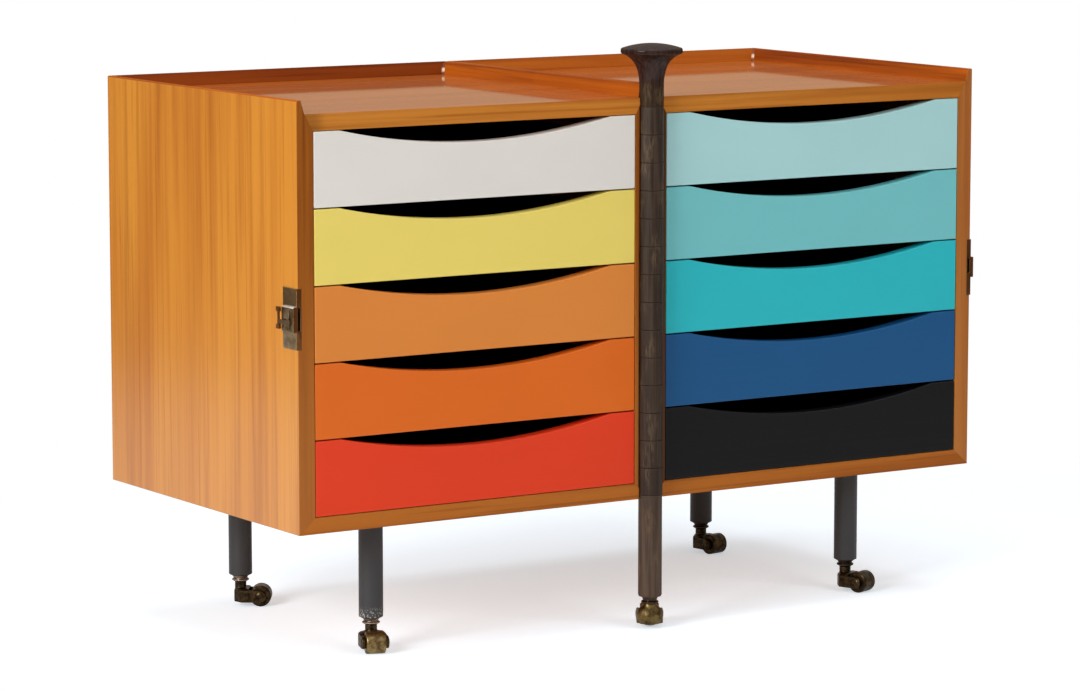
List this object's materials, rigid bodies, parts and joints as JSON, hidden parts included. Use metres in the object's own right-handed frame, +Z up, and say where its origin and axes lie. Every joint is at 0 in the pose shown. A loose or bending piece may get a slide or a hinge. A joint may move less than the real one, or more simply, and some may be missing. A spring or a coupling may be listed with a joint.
{
  "type": "folding drawer cabinet on casters",
  "caption": "Low two-part drawer cabinet with shallow trays on top, hinged on a turned post so that the halves fold together, on round legs with swivel casters.",
  "frame": {"origin": "on the floor, below the middle of the overall size, on the post's axis in X", "axes": "+X towards the right half, +Y from the drawer fronts to the back, +Z up"},
  "size_m": [0.9289, 0.4798, 0.6695],
  "materials": {
    "side_wood": "oiled, straight grain",
    "tray_wood": "satin lacquer",
    "back_wood": "oiled, straight grain",
    "dark_wood": "black stain",
    "leg_black": "satin black, worn at the ends",
    "post_wood": "dark stain, worn",
    "steel": "plain",
    "brass": "aged, dark",
    "brass_worn": "worn bright on the tread",
    "latch_brass": "aged",
    "paint_white": "satin paint",
    "paint_yellow": "satin paint",
    "paint_amber": "satin paint",
    "paint_orange": "satin paint",
    "paint_red": "satin paint",
    "paint_pale_blue": "satin paint",
    "paint_aqua": "satin paint",
    "paint_turquoise": "satin paint",
    "paint_blue": "satin paint",
    "paint_black": "satin paint"
  },
  "bodies": {
    "left_half": {"left_outer_side": "side_wood", "left_inner_side": "side_wood", "left_bottom": "side_wood", "left_back_rim": "side_wood", "left_top": "tray_wood", "left_back": "back_wood", "left_runners": "dark_wood", "left_front_leg": "leg_black", "left_back_leg": "leg_black", "left_knuckles": "post_wood", "left_knuckle_screws": "steel", "left_caster_sockets": "brass", "hinge_rod": "steel", "post_head": "post_wood", "post_foot": "post_wood", "latch_plate": "latch_brass"},
    "right_half": {"right_outer_side": "side_wood", "right_inner_side": "side_wood", "right_bottom": "side_wood", "right_back_rim": "side_wood", "right_top": "tray_wood", "right_back": "back_wood", "right_runners": "dark_wood", "right_front_leg": "leg_black", "right_back_leg": "leg_black", "right_knuckles": "post_wood", "right_knuckle_screws": "steel", "right_caster_sockets": "brass", "keeper_plate": "latch_brass"},
    "left_drawer_1": {"left_drawer_1_front": "paint_white", "left_drawer_1_box": "dark_wood"},
    "left_drawer_2": {"left_drawer_2_front": "paint_yellow", "left_drawer_2_box": "dark_wood"},
    "left_drawer_3": {"left_drawer_3_front": "paint_amber", "left_drawer_3_box": "dark_wood"},
    "left_drawer_4": {"left_drawer_4_front": "paint_orange", "left_drawer_4_box": "dark_wood"},
    "left_drawer_5": {"left_drawer_5_front": "paint_red", "left_drawer_5_box": "dark_wood"},
    "right_drawer_1": {"right_drawer_1_front": "paint_pale_blue", "right_drawer_1_box": "dark_wood"},
    "right_drawer_2": {"right_drawer_2_front": "paint_aqua", "right_drawer_2_box": "dark_wood"},
    "right_drawer_3": {"right_drawer_3_front": "paint_turquoise", "right_drawer_3_box": "dark_wood"},
    "right_drawer_4": {"right_drawer_4_front": "paint_blue", "right_drawer_4_box": "dark_wood"},
    "right_drawer_5": {"right_drawer_5_front": "paint_black", "right_drawer_5_box": "dark_wood"},
    "left_front_swivel": {"left_front_horn": "brass"},
    "left_front_roller": {"left_front_wheel": "brass_worn"},
    "left_back_swivel": {"left_back_horn": "brass"},
    "left_back_roller": {"left_back_wheel": "brass_worn"},
    "right_front_swivel": {"right_front_horn": "brass"},
    "right_front_roller": {"right_front_wheel": "brass_worn"},
    "right_back_swivel": {"right_back_horn": "brass"},
    "right_back_roller": {"right_back_wheel": "brass_worn"},
    "post_swivel": {"post_horn": "brass"},
    "post_roller": {"post_wheel": "brass_worn"},
    "latch_hook": {"latch_hook": "latch_brass"}
  },
  "joints": [
    {"name": "fold", "type": "hinge", "parent": "left_half", "child": "right_half", "pos_m": [0, -0.20488, 0.4], "axis": [0, 0, 1], "range_deg": [-180, 0]},
    {"name": "left_drawer_1_slide", "type": "slide", "parent": "left_half", "child": "left_drawer_1", "axis": [0, -1, 0], "range_m": [0, 0.3]},
    {"name": "left_drawer_2_slide", "type": "slide", "parent": "left_half", "child": "left_drawer_2", "axis": [0, -1, 0], "range_m": [0, 0.3]},
    {"name": "left_drawer_3_slide", "type": "slide", "parent": "left_half", "child": "left_drawer_3", "axis": [0, -1, 0], "range_m": [0, 0.3]},
    {"name": "left_drawer_4_slide", "type": "slide", "parent": "left_half", "child": "left_drawer_4", "axis": [0, -1, 0], "range_m": [0, 0.3]},
    {"name": "left_drawer_5_slide", "type": "slide", "parent": "left_half", "child": "left_drawer_5", "axis": [0, -1, 0], "range_m": [0, 0.3]},
    {"name": "right_drawer_1_slide", "type": "slide", "parent": "right_half", "child": "right_drawer_1", "axis": [0, -1, 0], "range_m": [0, 0.3]},
    {"name": "right_drawer_2_slide", "type": "slide", "parent": "right_half", "child": "right_drawer_2", "axis": [0, -1, 0], "range_m": [0, 0.3]},
    {"name": "right_drawer_3_slide", "type": "slide", "parent": "right_half", "child": "right_drawer_3", "axis": [0, -1, 0], "range_m": [0, 0.3]},
    {"name": "right_drawer_4_slide", "type": "slide", "parent": "right_half", "child": "right_drawer_4", "axis": [0, -1, 0], "range_m": [0, 0.3]},
    {"name": "right_drawer_5_slide", "type": "slide", "parent": "right_half", "child": "right_drawer_5", "axis": [0, -1, 0], "range_m": [0, 0.3]},
    {"name": "left_front_swivel_turn", "type": "hinge", "parent": "left_half", "child": "left_front_swivel", "pos_m": [-0.3285, -0.13562, 0.03], "axis": [0, 0, 1], "continuous": true},
    {"name": "left_front_roller_spin", "type": "hinge", "parent": "left_front_swivel", "child": "left_front_roller", "pos_m": [-0.33671, -0.15818, 0.0125], "axis": [0.9397, -0.342, 0], "continuous": true},
    {"name": "left_back_swivel_turn", "type": "hinge", "parent": "left_half", "child": "left_back_swivel", "pos_m": [-0.3285, 0.16787, 0.03], "axis": [0, 0, 1], "continuous": true},
    {"name": "left_back_roller_spin", "type": "hinge", "parent": "left_back_swivel", "child": "left_back_roller", "pos_m": [-0.3086, 0.15445, 0.0125], "axis": [0.5592, 0.829, 0], "continuous": true},
    {"name": "right_front_swivel_turn", "type": "hinge", "parent": "right_half", "child": "right_front_swivel", "pos_m": [0.3285, -0.13562, 0.03], "axis": [0, 0, 1], "continuous": true},
    {"name": "right_front_roller_spin", "type": "hinge", "parent": "right_front_swivel", "child": "right_front_roller", "pos_m": [0.33671, -0.15818, 0.0125], "axis": [0.9397, 0.342, 0], "continuous": true},
    {"name": "right_back_swivel_turn", "type": "hinge", "parent": "right_half", "child": "right_back_swivel", "pos_m": [0.3285, 0.16787, 0.03], "axis": [0, 0, 1], "continuous": true},
    {"name": "right_back_roller_spin", "type": "hinge", "parent": "right_back_swivel", "child": "right_back_roller", "pos_m": [0.33225, 0.14417, 0.0125], "axis": [0.9877, 0.1564, 0], "continuous": true},
    {"name": "post_swivel_turn", "type": "hinge", "parent": "left_half", "child": "post_swivel", "pos_m": [0, -0.20488, 0.03], "axis": [0, 0, 1], "continuous": true},
    {"name": "post_roller_spin", "type": "hinge", "parent": "post_swivel", "child": "post_roller", "pos_m": [0.01307, -0.18475, 0.0125], "axis": [-0.8387, 0.5446, 0], "continuous": true},
    {"name": "latch_turn", "type": "hinge", "parent": "left_half", "child": "latch_hook", "pos_m": [-0.4575, -0.19412, 0.38325], "axis": [1, 0, 0], "range_deg": [0, 90]}
  ]
}
